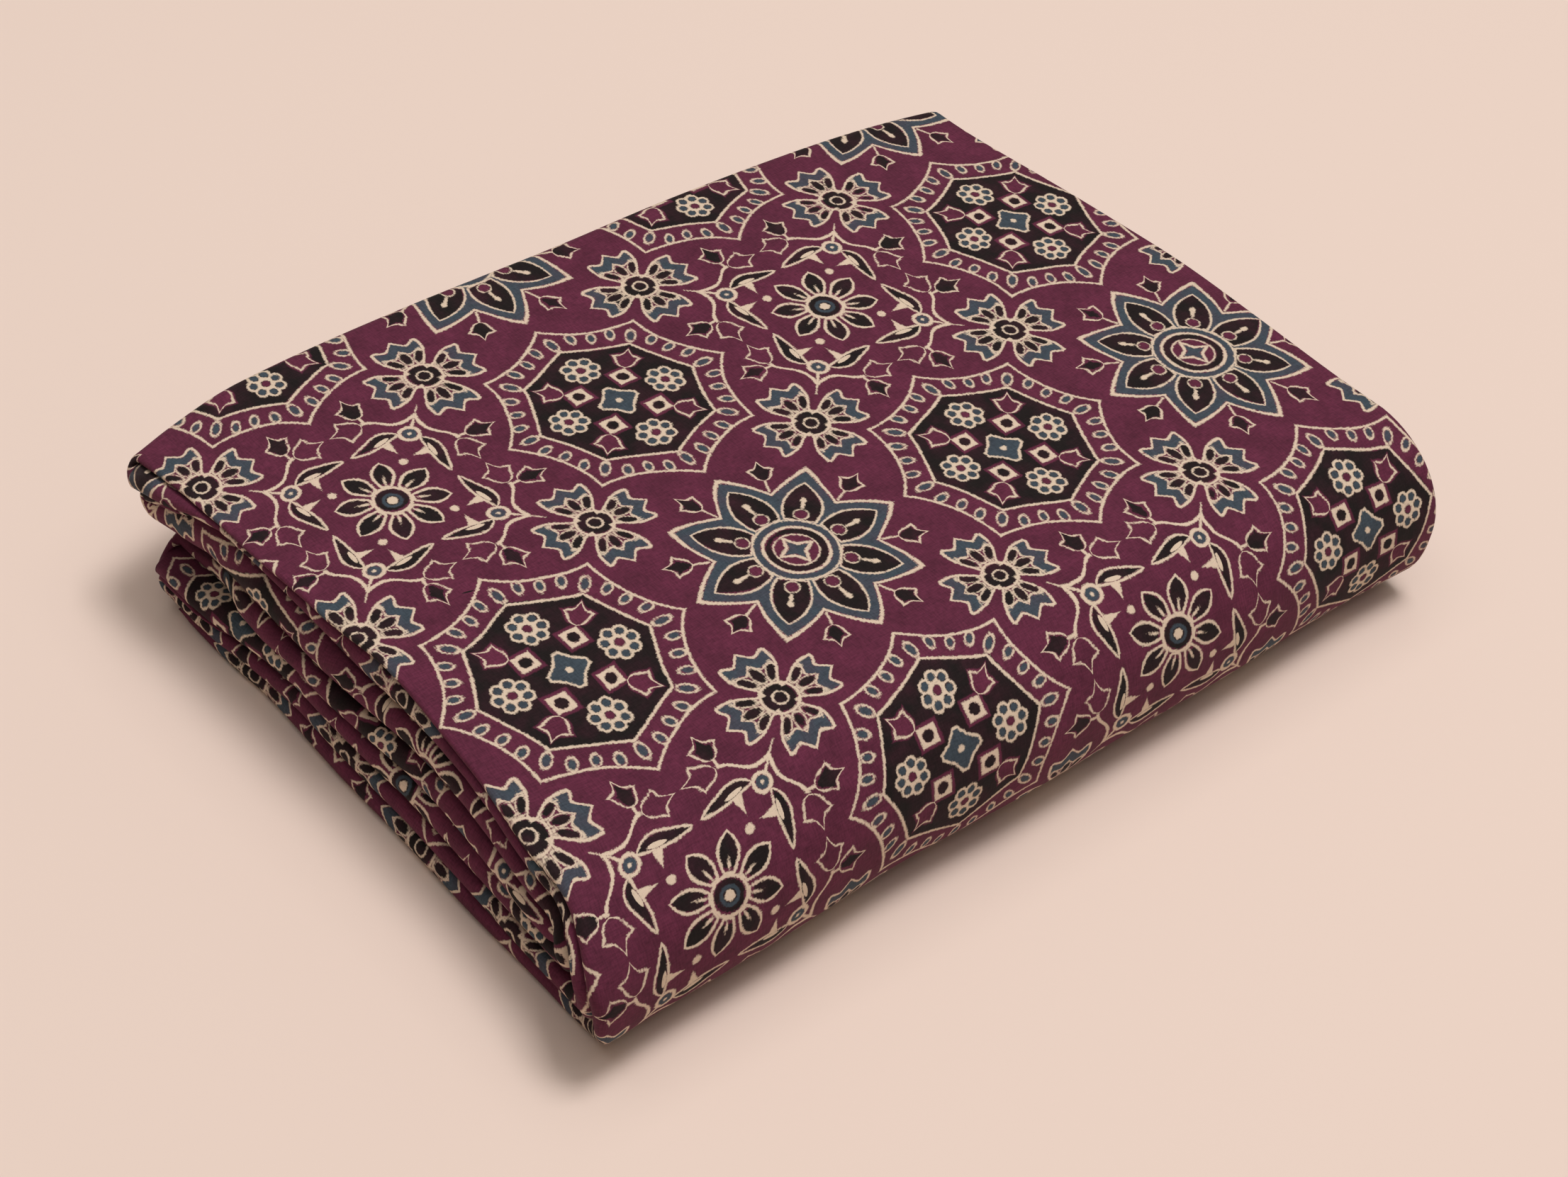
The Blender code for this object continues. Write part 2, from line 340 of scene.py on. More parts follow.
def fold_reach(turn, x):
    """Reach of a turn, with the slow swells of the fold along X, less for the inner turns."""
    share = turn / (TURNS - 1)
    swell = sum(height * np.sin(x * pace + start) for height, pace, start in SWELLS)
    return OUTER_REACH + (INNER_REACH - OUTER_REACH) * share + swell * (1 - share)


def front_turn(turn, upwards):
    """y = start - reach * sin(a)^p, z = middle + half * cos(a)^p, with p below 1 under halfway.

    The left lip flares by 1.84 * sin(a)^2 * (1 - share), which is 1 two fifths of the way round.
    """
    lower, upper = turn, LAYERS - 1 - turn
    share = turn / (TURNS - 1)
    steps = round(OUTER_TURN_STEPS + (INNER_TURN_STEPS - OUTER_TURN_STEPS) * share)
    below = (np.arange(1, steps) / steps)[:, None]
    angle = math.pi * below
    up_left, up_right = ends_of(upper, 0.0)
    low_left, low_right = ends_of(lower, 0.0)
    left, right = up_left + (low_left - up_left) * below, up_right + (low_right - up_right) * below
    left = left - NOSE_FLARES[turn] / 1000 * 1.84 * np.sin(angle) ** 2 * (1 - below)
    start_half = (lip_radius(upper, up_left, 0.0) + lip_radius(lower, low_left, 0.0)) / 2
    x = columns_x(left, right, start_half, SHEET / 2)
    start = fold_start(x)
    upper_z, upper_half = layer_at(upper, x, start)
    lower_z, lower_half = layer_at(lower, x, start)
    sag = 2 / (SAG_POWER + (2 - SAG_POWER) * share)
    power = np.where(below > 0.5, sag, 1.0)
    forward = np.sin(angle) ** power
    upward = np.sign(np.cos(angle)) * np.abs(np.cos(angle)) ** power
    y = start - fold_reach(turn, x) * forward
    z = (upper_z + lower_z) / 2 + (upper_z - lower_z) / 2 * upward
    half = upper_half + (lower_half - upper_half) * below
    run = np.stack((x, y, z, half * COLUMN_THICK, PRINT_SHIFTS[turn] + 0 * x))
    return run[:, ::-1] if upwards else run


def back_turn(first, second, shift):
    """y = back edge + half spacing * sin(a), z = middle + half spacing * cos(a)."""
    share = (np.arange(1, BACK_TURN_STEPS) / BACK_TURN_STEPS)[:, None]
    angle = math.pi * share
    first_left, first_right = ends_of(first, 1.0)
    second_left, second_right = ends_of(second, 1.0)
    left = first_left + (second_left - first_left) * share
    right = first_right + (second_right - first_right) * share
    radius = (lip_radius(first, first_left, 1.0) + lip_radius(second, second_left, 1.0)) / 2
    x = columns_x(left, right, radius, SHEET / 2)
    edge = back_edge(first, x)
    first_z, first_half = layer_at(first, x, edge)
    second_z, second_half = layer_at(second, x, edge)
    spacing = (first_z - second_z) / 2
    y = edge + np.abs(spacing) * np.sin(angle)
    z = (first_z + second_z) / 2 + spacing * np.cos(angle)
    half = np.minimum(first_half, second_half)
    half = half + (np.where(share < 0.5, first_half, second_half) - half) * np.abs(np.cos(angle))
    return np.stack((x, y, z, half * COLUMN_THICK, shift + 0 * x))


print("rows in the outer turn:", front_turn(0, True).shape[1])

# %% [markdown]
# The runs and turns in order make one long sheet of points, with the half thickness beside
# them. The two free ends are rounded as the lips are, and the two faces are the middle sheet
# moved half a thickness to either side, square to the strip's own direction.

# %% The whole strip
parts = []
for turn in range(TURNS):
    rising = turn % 2 == 0
    first, second = (turn, LAYERS - 1 - turn) if rising else (LAYERS - 1 - turn, turn)
    shift = PRINT_SHIFTS[turn]
    parts.append(flat_run(first, True, shift, PRINT_SHIFTS[max(turn - 1, 0)]))
    parts.append(front_turn(turn, rising))
    parts.append(flat_run(second, False, shift, shift))
    if turn < TURNS - 1:
        parts.append(back_turn(second, second - 1 if rising else second + 1, shift))
starts = np.cumsum([0] + [part.shape[1] for part in parts])
top_from, top_to = starts[2], starts[3]
strip = np.concatenate(parts, axis=1)
middle_sheet, half_thick, print_shift = np.moveaxis(strip[:3], 0, -1), strip[3], strip[4]
print("strip rows and columns:", middle_sheet.shape[:2])


# %% Its two faces
def end_share(distance, radius):
    """sqrt(1 - (1 - d/r)^2): the half circle that closes a free end."""
    inside = np.clip(distance / radius, 0.0, 1.0)
    return np.sqrt(1 - (1 - inside) ** 2)


steps = np.diff(middle_sheet, axis=0)
lengths = np.linalg.norm(steps, axis=-1)
walked = np.concatenate((np.zeros((1, COLUMNS)), np.cumsum(lengths, axis=0)))
half_thick = half_thick * end_share(walked, SHEET / 2) * end_share(walked[-1] - walked, SHEET / 2)
directions = steps[..., 1:] / np.linalg.norm(steps[..., 1:], axis=-1, keepdims=True)
before = np.concatenate((directions[:1], directions))
after = np.concatenate((directions, directions[-1:]))
along = before + after
along /= np.linalg.norm(along, axis=-1, keepdims=True)
stretch = 1 / np.clip((along * before).sum(axis=-1), 0.8, 1.0)
sideways = np.stack((np.zeros_like(half_thick), -along[..., 1], along[..., 0]), axis=-1)
shift = sideways * (half_thick * stretch)[..., None]
face_a, face_b = middle_sheet + shift, middle_sheet - shift

# %% [markdown]
# Both faces become one closed shell. Along the lips and the free ends the two faces share
# their vertices, so only the inner points of the second face are new ones.

# %% The closed shell
rows, cols = half_thick.shape
index_a = np.arange(rows * cols).reshape(rows, cols)
index_b = index_a.copy()
index_b[1:-1, 1:-1] = rows * cols + np.arange((rows - 2) * (cols - 2)).reshape(rows - 2, cols - 2)
points = np.concatenate((face_a.reshape(-1, 3), face_b[1:-1, 1:-1].reshape(-1, 3)))


def corner_values(grid, flip):
    """The four corner values of each grid cell, turned the other way round for the first face."""
    corners = [grid[:-1, :-1], grid[1:, :-1], grid[1:, 1:], grid[:-1, 1:]]
    return np.stack(corners[::-1] if flip else corners, axis=-1)


quad_corners = np.concatenate((corner_values(index_a, True), corner_values(index_b, False)))
mesh = bpy.data.meshes.new("printed_cloth")
mesh.from_pydata(points.tolist(), [], quad_corners.reshape(-1, 4).tolist())
mesh.validate()
mesh.shade_smooth()
cloth = bpy.data.objects.new("printed_cloth", mesh)
bpy.context.scene.collection.objects.link(cloth)
volume_sign = sum(p.center.dot(p.normal) * p.area for p in mesh.polygons)
print("faces:", len(mesh.polygons), "outward" if volume_sign > 0 else "INWARD")

# %% [markdown]
# The print is fixed to the cloth, so it needs the cloth's own measure: how far a point is
# along and across the strip, in metres. On the layer on top these are simply x and y. Past the
# fold they go on by the distance walked over the surface, and round a lip they go on under it.
# The print is pinched a little along the left edge, and on the fold it drifts sideways and
# down. On the under face the map has a seam down its middle, where nobody sees it.

# %% Measures along and across the strip
BACK_PINCH, FRONT_PINCH = 0.0048, 0.0033
DRIFT, DRIFT_LEFT, DRIFT_RIGHT = 0.0031, 0.0017, 0.0019
DROP_RIGHT, DROP_AT_END = 0.0013, 0.0009
outer_steps = np.linalg.norm(np.diff(face_a, axis=0), axis=-1)
inner_columns = np.clip(np.arange(cols), len(LIP_ANGLES), cols - 1 - len(LIP_ANGLES))
fold_walked = np.concatenate((np.zeros((1, cols)), np.cumsum(outer_steps[:, inner_columns], axis=0)))
inside_walked = walked[:, cols // 2][:, None]
sheet_x, sheet_y = middle_sheet[..., 0], middle_sheet[..., 1]
near_left = rise(sheet_x, -0.080, -0.115)
pinch = BACK_PINCH * rise(sheet_y, 0.005, 0.058)
pinch = pinch - FRONT_PINCH * rise(sheet_y, 0.0, -0.040) * rise(sheet_y, -0.067, -0.052)
length_v = sheet_y + pinch * near_left
length_v[:top_from] = length_v[top_from] + fold_walked[:top_from] - fold_walked[top_from]
length_v[top_to:] = length_v[top_to - 1] + inside_walked[top_to:] - inside_walked[top_to - 1]
drop = DROP_RIGHT * rise(sheet_x, 0.0, 0.040) + DROP_AT_END * rise(sheet_x, 0.060, 0.100)
length_v = length_v + drop * rise(length_v, -0.040, -0.075)
fold_drift = DRIFT + DRIFT_LEFT * rise(sheet_x, -0.070, -0.120) - DRIFT_RIGHT * rise(sheet_x, -0.005, 0.040)
fold_drift = fold_drift * rise(length_v, -0.056, -0.080)
print_shift[:top_to] += fold_drift[:top_to]


def measured_across(face):
    """Distance over the face from its middle column, which keeps its own x."""
    gaps = np.linalg.norm(np.diff(face, axis=1), axis=-1)
    total = np.concatenate((np.zeros((rows, 1)), np.cumsum(gaps, axis=1)), axis=1)
    return face[:, cols // 2, 0][:, None] + total - total[:, cols // 2][:, None]


across_a, across_b = measured_across(face_a) + print_shift, measured_across(face_b)
width_b = across_b - across_b[:, :1]
under_left = across_a[:, :1] - width_b
under_right = across_a[:, -1:] + width_b[:, -1:] - width_b
u_a = corner_values(across_a, True)
left_half = (np.arange(cols - 1) < cols // 2)[None, :, None]
u_b = np.where(left_half, corner_values(under_left, False), corner_values(under_right, False))
v_a, v_b = corner_values(length_v, True), corner_values(length_v, False)
u = np.concatenate((u_a.reshape(-1), u_b.reshape(-1)))
v = np.concatenate((v_a.reshape(-1), v_b.reshape(-1)))
uv = mesh.uv_layers.new(name="cloth_metres")
uv.uv.foreach_set("vector", np.stack((u, v), axis=-1).astype(np.float32).ravel())
print("print runs over, m:", round(float(u.min()), 3), round(float(u.max()), 3),
      round(float(v.min()), 3), round(float(v.max()), 3))

# %% [markdown]
# For baking the finish into one square picture, a second map lays the strip out on a square, in
# boxes given by their left, low, right and high edges. What shows most gets the most room: the
# fold and the top, then the underside, then the lips, ends and back turns of the layers between,
# while their hidden middles stay small.

# %% The map for baking
LAST_ROW, LAST_COLUMN = rows - 1, cols - 1
LEFT_CUT, RIGHT_CUT = 12, cols - 8
bake_uv = {"a": np.zeros((LAST_ROW, LAST_COLUMN, 4, 2)), "b": np.zeros((LAST_ROW, LAST_COLUMN, 4, 2))}


def spaced(gaps, low, high):
    """Places from low to high, as far apart as the gaps, with none below a fifth of the mean."""
    gaps = np.maximum(gaps, gaps.mean() / 5)
    return low + (high - low) * np.concatenate(([0.0], np.cumsum(gaps))) / gaps.sum()


def place_block(side, row_range, column_range, left, low, right, high):
    """Lays a block of one face's quads into a box of the square, spaced as on the cloth."""
    (r0, r1), (c0, c1) = row_range, column_range
    grid = (face_a if side == "a" else face_b)[r0:r1 + 1, c0:c1 + 1]
    across = spaced(np.linalg.norm(np.diff(grid, axis=1), axis=-1).mean(axis=0), left, right)
    upward = spaced(np.linalg.norm(np.diff(grid, axis=0), axis=-1).mean(axis=1), low, high)
    u, v = np.meshgrid(across, upward)
    bake_uv[side][r0:r1, c0:c1, :, 0] = corner_values(u, side == "a")
    bake_uv[side][r0:r1, c0:c1, :, 1] = corner_values(v, side == "a")


whole, middle = (0, LAST_COLUMN), (LEFT_CUT, RIGHT_CUT)
left_lip, right_lip = (0, LEFT_CUT), (RIGHT_CUT, LAST_COLUMN)
under_rows, outer_rows = (0, starts[1] - 1), (starts[1] - 1, starts[3] - 1)
place_block("a", outer_rows, whole, 0.004, 0.364, 0.736, 0.996)
place_block("a", under_rows, whole, 0.744, 0.804, 0.996, 0.996)
place_block("a", (starts[3] - 1, LAST_ROW), middle, 0.744, 0.364, 0.800, 0.690)
place_block("b", (0, LAST_ROW), middle, 0.808, 0.364, 0.864, 0.690)
for turn in range(TURNS - 1):
    low, turn_rows = 0.700 + 0.026 * turn, (starts[4 * turn + 3] - 1, starts[4 * turn + 4])
    place_block("ab"[turn % 2], turn_rows, middle, 0.744, low, 0.996, low + 0.020)
for n, (side_rows, columns) in enumerate(((under_rows, left_lip), (outer_rows, left_lip),
                                         (under_rows, right_lip), (outer_rows, right_lip))):
    place_block("b", side_rows, columns, 0.872 + 0.032 * n, 0.364, 0.896 + 0.032 * n, 0.690)
for n in range(2 * (TURNS - 1)):
    segment = (starts[3 + 2 * n] - 1, starts[5 + 2 * n] - 1)
    for m, side in enumerate("ab"):
        low_left = 0.004 + 0.072 * n + 0.036 * m
        place_block(side, segment, left_lip, low_left, 0.004, low_left + 0.031, 0.356)
        low_left = 0.584 + 0.052 * n + 0.026 * m
        place_block(side, segment, right_lip, low_left, 0.004, low_left + 0.021, 0.356)
bake_map = mesh.uv_layers.new(name="OFBake")
bake_values = np.concatenate((bake_uv["a"].reshape(-1), bake_uv["b"].reshape(-1)))
bake_map.uv.foreach_set("vector", bake_values.astype(np.float32))
print("least and greatest place in the bake:", bake_values.min().round(3), bake_values.max().round(3))

# %% [markdown]
# The print is worked out inside the material, as distances: each shape of the pattern is a
# number that is negative inside it and zero on its edge. A small class wraps a socket, so that
# such formulas can be written as plain Python, and one method makes any other node.

# %% Sockets as numbers
dyed_cotton = bpy.data.materials.new("dyed_cotton")
dyed_cotton.use_nodes = True
tree = dyed_cotton.node_tree
mesh.materials.append(dyed_cotton)


def node(kind, inputs=(), **settings):
    """Any node: its settings first, then the values or links of its sockets."""
    made = tree.nodes.new(kind)
    for name, setting in settings.items():
        setattr(made, name, setting)
    for name, given in dict(inputs).items():
        if isinstance(given, Value):
            tree.links.new(given.socket, made.inputs[name])
        else:
            made.inputs[name].default_value = given
    return made


def maths(operation, *given, clamp=False):
    """One Math node on values or numbers."""
    made = node("ShaderNodeMath", enumerate(given), operation=operation, use_clamp=clamp)
    return Value(made.outputs[0])


class Value:
    """A number that changes over the cloth: its operators add Math nodes."""

    def __init__(self, socket):
        self.socket = socket

    def __add__(self, other):
        return maths("ADD", self, other)

    def __sub__(self, other):
        return maths("SUBTRACT", self, other)

    def __rsub__(self, other):
        return maths("SUBTRACT", other, self)

    def __mul__(self, other):
        return maths("MULTIPLY", self, other)

    def __neg__(self):
        return maths("MULTIPLY", self, -1.0)

    def __abs__(self):
        return maths("ABSOLUTE", self)

    __radd__ = __add__
    __rmul__ = __mul__


def least(*given):
    """The smallest of several values."""
    result = given[0]
    for other in given[1:]:
        result = maths("MINIMUM", result, other)
    return result


def most(*given):
    """The largest of several values."""
    result = given[0]
    for other in given[1:]:
        result = maths("MAXIMUM", result, other)
    return result


def vector(operation, *given):
    """One Vector Math node. Its number output is used where it measures something."""
    made = node("ShaderNodeVectorMath", enumerate(given), operation=operation)
    measures = operation in ("LENGTH", "DISTANCE", "DOT_PRODUCT")
    return Value(made.outputs["Value" if measures else "Vector"])


def join(x, y):
    """A flat point from its two numbers."""
    return Value(node("ShaderNodeCombineXYZ", {0: x, 1: y}).outputs[0])


def noise(point, scale, detail, output=0):
    """Flat noise over a point: output 0 is its number, and output 1 a vector of three."""
    made = node("ShaderNodeTexNoise", {"Vector": point, "Scale": scale, "Detail": detail},
                noise_dimensions="2D")
    return Value(made.outputs[output])


def split(point):
    """The two numbers of a flat point."""
    made = node("ShaderNodeSeparateXYZ", {0: point})
    return Value(made.outputs[0]), Value(made.outputs[1])


def curve(value, stops):
    """A smooth curve through listed stops (value, result), level past both ends."""
    made = node("ShaderNodeFloatCurve", {"Value": value})
    made.mapping.use_clip = False
    made.mapping.extend = "HORIZONTAL"
    line = made.mapping.curves[0]
    line.points[0].location, line.points[1].location = stops[0], stops[-1]
    for stop in stops[1:-1]:
        line.points.new(*stop)
    made.mapping.update()
    return Value(made.outputs[0])


print("helpers ready")

# %% [markdown]
# Everything in the print is built from a few shapes: discs, ovals, lines along an edge, and
# one small three-pointed bud. Sizes are in repeats of the pattern, which is 120 mm long.

# %% Shapes of the blocks
EIGHTH = math.radians(22.5)


def disc(point, x, y, radius):
    """Distance from (x, y) - radius."""
    return vector("DISTANCE", point, (x, y, 0.0)) - radius


def oval(point, x, y, half_long, half_wide, turn=0.0):
    """(length of the point in the oval's own turned and scaled axes - 1) * half width."""
    own = node("ShaderNodeMapping", {"Vector": point, "Location": (x, y, 0.0),
                                     "Rotation": (0.0, 0.0, math.radians(turn)),
                                     "Scale": (half_long, half_wide, 1.0)}, vector_type="TEXTURE")
    size = vector("LENGTH", Value(own.outputs[0]))
    return maths("MULTIPLY_ADD", size, half_wide, -half_wide)


def edge_line(distance, width):
    """abs(distance) - width / 2: a line along an edge."""
    return abs(distance) - width / 2


def eightfold(high, low):
    """Folds the plane eight times: max(h, (h + l)/sqrt 2) and min(l, (h - l)/sqrt 2)."""
    root = math.sqrt(0.5)
    return most(high, (high + low) * root), least(low, (high - low) * root)


def turned(x, y):
    """The same point seen from the ray at 22.5 degrees: along it, and away from it."""
    along = maths("MULTIPLY_ADD", y, math.sin(EIGHTH), x * math.cos(EIGHTH))
    away = maths("MULTIPLY_ADD", y, -math.cos(EIGHTH), x * math.sin(EIGHTH))
    return along, away


def bud(along, aside):
    """A bud 51 by 46 thousandths: a round base and a three-pointed end, centred on its middle."""
    sides = curve(along, ((-0.0300, -0.0140), (-0.0245, 0.0000), (-0.0215, 0.0080), (-0.0140, 0.0142),
                          (-0.0050, 0.0178), (0.0010, 0.0205), (0.0060, 0.0245), (0.0300, 0.0300)))
    end = curve(aside, ((0.0, 0.0295), (0.0030, 0.0220), (0.0070, 0.0140), (0.0110, 0.0098),
                        (0.0170, 0.0085), (0.0240, 0.0050), (0.0300, 0.0020)))
    return most(aside - sides, along - end)


class Dyes:
    """One running distance for each dye: the least of the shapes printed with it so far."""

    def __init__(self):
        self.least_of = {}

    def add(self, dye, distance):
        """Prints one more shape with a dye."""
        if dye in self.least_of:
            distance = maths("MINIMUM", self.least_of[dye], distance)
        self.least_of[dye] = distance


dyes = Dyes()
print("shapes ready")

# %% [markdown]
# The cloth is printed in squares: a star in each corner, a flower in each middle, an octagon
# halfway along each side, and a small four-petalled cross between them. Mirrors repeat it all,
# so folding the plane at the mirrors leaves one corner to draw. A slow wobble keeps the lines
# from being ruled, and the octagon's black leaves a little plum round each tulip and square.

# %% Place on the cloth
REPEAT = 0.120
STAR_AT = (-0.0226, -0.0268)
metres = Value(node("ShaderNodeUVMap", uv_map="cloth_metres").outputs[0])
place = vector("MULTIPLY_ADD", metres, (1 / REPEAT, 1 / REPEAT, 0.0),
               (-STAR_AT[0] / REPEAT, -STAR_AT[1] / REPEAT, 0.0))
wander = noise(place, 7.0, 1.0, output=1)
wander = vector("MULTIPLY_ADD", wander, (0.010, 0.010, 0.0), (-0.005, -0.005, 0.0))
wandered = vector("ADD", place, wander)
folded = vector("FRACTION", vector("ADD", wandered, (0.5, 0.5, 0.0)))
folded = vector("ABSOLUTE", vector("SUBTRACT", folded, (0.5, 0.5, 0.0)))
cell_x, cell_y = split(folded)
cell_high, cell_low = most(cell_x, cell_y), least(cell_x, cell_y)
print("repeat, mm:", REPEAT * 1000)

# %% The eight-petalled star
star_x, star_y = eightfold(cell_high, cell_low)
star_point = join(star_x, star_y)
star_radius = vector("LENGTH", folded)
bulge = star_y * (0.0574 - star_y) * 6.0
star_edge = maths("MULTIPLY_ADD", star_y, 0.817, maths("MULTIPLY_ADD", star_x, 0.576, -0.1267)) - bulge
dyes.add("cream", edge_line(star_edge, 0.0075))
petal_half = curve(star_x, ((0.070, 0.0240), (0.085, 0.0300), (0.100, 0.0340), (0.122, 0.0352),
                            (0.147, 0.0285), (0.168, 0.0160), (0.183, 0.0020), (0.200, -0.0200)))
petal = most(star_y - petal_half, 0.0775 - star_x)
dyes.add("cream", edge_line(petal, 0.0056))
dyes.add("black", petal + 0.0015)
dyes.add("blue", most(star_edge + 0.004, -petal, 0.0625 - star_radius))
dyes.add("plum", disc(star_point, 0.0950, 0.0, 0.0120))
dyes.add("cream", edge_line(disc(star_point, 0.0950, 0.0, 0.0135), 0.0036))
dyes.add("cream", oval(star_point, 0.1240, 0.0, 0.0160, 0.0040))
dyes.add("cream", oval(star_point, 0.1360, 0.0, 0.0085, 0.0062))
dyes.add("cream", edge_line(star_radius - 0.0773, 0.0054))
dyes.add("cream", edge_line(star_radius - 0.0590, 0.0070))
dyes.add("black", edge_line(star_radius - 0.0488, 0.0136))
dyes.add("cream", edge_line(star_radius - 0.0400, 0.0042))
cream_star = maths("MULTIPLY_ADD", cell_low, 0.8925, maths("MULTIPLY_ADD", cell_high, 0.451, -0.0189))
blue_star = maths("MULTIPLY_ADD", cell_low, 0.9100, maths("MULTIPLY_ADD", cell_high, 0.414, -0.0112))
dyes.add("blue", blue_star)
dyes.add("cream", most(cream_star, -blue_star))
bud_along, bud_aside = turned(star_x, star_y)
star_bud = bud(bud_along - 0.2135, bud_aside)
dyes.add("black", star_bud + 0.0060)
dyes.add("cream", edge_line(star_bud, 0.0056))
dyes.add("cream", most(bud_aside - 0.0026, abs(bud_along - 0.1730) - 0.0165))
print("nodes after the star:", len(tree.nodes))

# %% The octagon: its double edge and its ovals
oct_x = 0.5 - cell_high
oct_high, oct_low = most(oct_x, cell_low), least(oct_x, cell_low)
ring_x, ring_y = eightfold(oct_high, oct_low)
ring_point = join(ring_x, ring_y)
outer_edge = 0.2288 - vector("DISTANCE", ring_point, (0.4026, 0.1668, 0.0))
dyes.add("cream", edge_line(outer_edge, 0.0062))
inner_edge = 0.6117 - vector("DISTANCE", ring_point, (0.7111, 0.2946, 0.0))
dyes.add("cream", edge_line(inner_edge, 0.0064))
dyes.add("black", inner_edge)
for far, degrees, half_long, half_wide in ((0.1985, 0.0, 0.0220, 0.0112), (0.1985, 11.3, 0.0180, 0.0106),
                                           (0.1905, 22.5, 0.0165, 0.0104)):
    at = (far * math.cos(math.radians(degrees)), far * math.sin(math.radians(degrees)))
    bead = oval(ring_point, *at, half_long, half_wide, degrees)
    dyes.add("cream", edge_line(bead + 0.0020, 0.0042))
    dyes.add("blue", bead + 0.0040)
print("nodes after the ring:", len(tree.nodes))

# %% The octagon: its posies
PLUM_HALO = 0.0062
oct_point = join(oct_high, oct_low)
heart = maths("MULTIPLY_ADD", oct_low, 0.812, maths("MULTIPLY_ADD", oct_high, 0.584, -0.0272))
heart = most(heart, oct_high - 0.0395)
dyes.add("blue", heart)
dyes.add("cream", edge_line(heart, 0.0058))
dyes.add("cream", disc(oct_point, 0.0, 0.0, 0.0068))
daisy_x = oct_high - 0.1090
daisy_radius = vector("LENGTH", join(daisy_x, oct_low))
daisy_turn = maths("PINGPONG", maths("ARCTAN2", oct_low, daisy_x), math.pi / 7)
daisy_point = join(daisy_radius * maths("COSINE", daisy_turn), daisy_radius * maths("SINE", daisy_turn))
dot_far = vector("DISTANCE", daisy_point, (0.0250, 0.0, 0.0))
scallop = least(dot_far - 0.0140, daisy_radius - 0.0320)
dyes.add("cream", most(scallop, 0.0079 - dot_far, 0.0088 - daisy_radius))
dyes.add("blue", dot_far - 0.0079)
dyes.add("plum", daisy_radius - 0.0088)
square = most(abs(oct_high - 0.0510), abs(oct_low - 0.0510)) - 0.0190
square_hole = 0.0112 - vector("DISTANCE", oct_point, (0.051, 0.051, 0.0))
dyes.add("cream", most(square, square_hole))
dyes.add("plum", most(square - PLUM_HALO, square_hole))
root = math.sqrt(0.5)
tulip = bud(maths("MULTIPLY_ADD", oct_high + oct_low, root * 0.94, -0.1265 * 0.94),
            (oct_high - oct_low) * (root * 0.94))
dyes.add("plum", tulip - PLUM_HALO)
dyes.add("cream", edge_line(tulip, 0.0052))
print("nodes after the octagon:", len(tree.nodes))

# %% The four-petalled cross
cross = vector("ABSOLUTE", vector("SUBTRACT", folded, (0.25, 0.25, 0.0)))
cross_x, cross_y = split(cross)
cross_high, cross_low = most(cross_x, cross_y), least(cross_x, cross_y)
cross_point = join(cross_high, cross_low)
cross_radius = vector("LENGTH", cross)
dyes.add("black", cross_radius - 0.0310)
dyes.add("cream", edge_line(cross_radius - 0.0343, 0.0066))
dyes.add("cream", edge_line(cross_radius - 0.0138, 0.0048))
side = cross_low - curve(cross_high, ((0.030, 0.0200), (0.040, 0.0260), (0.052, 0.0345), (0.067, 0.0425),
                                      (0.085, 0.0465), (0.100, 0.0462), (0.120, 0.0450)))
teeth = cross_high - curve(cross_low, ((0.0, 0.1150), (0.0055, 0.1095), (0.0130, 0.1010),
                                       (0.0215, 0.0945), (0.0310, 0.0980), (0.0420, 0.1025),
                                       (0.0500, 0.0985), (0.0700, 0.0850)))
blue_foot = curve(cross_low, ((0.0, 0.0860), (0.0080, 0.0770), (0.0150, 0.0700), (0.0220, 0.0720),
                              (0.0320, 0.0735), (0.0400, 0.0660), (0.0500, 0.0560))) - cross_high
dyes.add("cream", edge_line(most(side, teeth), 0.0068))
dyes.add("blue", most(side + 0.0030, teeth + 0.0030, blue_foot))
dyes.add("cream", most(side, edge_line(blue_foot - 0.0020, 0.0052)))
for at, half_long, half_wide, degrees in (((0.0590, 0.0), 0.0180, 0.0092, 0.0),
                                          ((0.0550, 0.0250), 0.0190, 0.0078, 33.0)):
    leaf = oval(cross_point, *at, half_long, half_wide, degrees)
    dyes.add("black", leaf)
    dyes.add("cream", edge_line(leaf - 0.0012, 0.0034))
print("nodes after the cross:", len(tree.nodes))

# %% The small flower and its leaves
square_point = vector("SUBTRACT", (0.5, 0.5, 0.0), folded)
far_x, far_y = split(square_point)
far_high, far_low = most(far_x, far_y), least(far_x, far_y)
far_point = join(far_high, far_low)
flower_radius = vector("LENGTH", square_point)
dyes.add("cream", flower_radius - 0.0105)
dyes.add("black", flower_radius - 0.0300)
dyes.add("blue", edge_line(flower_radius - 0.0160, 0.0070))
dyes.add("cream", edge_line(flower_radius - 0.0348, 0.0075))
long_petal, petal_aside = turned(*eightfold(far_high, far_low))
turned_point = join(long_petal, petal_aside)
small_half = curve(long_petal, ((0.035, 0.0070), (0.050, 0.0140), (0.068, 0.0195), (0.084, 0.0175),
                                (0.097, 0.0095), (0.106, -0.0005), (0.118, -0.0140)))
small_petal = most(petal_aside - small_half, 0.0380 - long_petal)
dyes.add("black", most(small_petal + 0.0015, 0.0470 - long_petal))
dyes.add("cream", edge_line(small_petal, 0.0068))
dyes.add("cream", oval(turned_point, 0.0530, 0.0, 0.0125, 0.0032))
dyes.add("cream", disc(far_point, 0.0775, 0.0775, 0.0088))
knot = disc(far_point, 0.1325, 0.1325, 0.0215)
dyes.add("cream", edge_line(knot + 0.0042, 0.0084))
dyes.add("blue", knot + 0.0080)
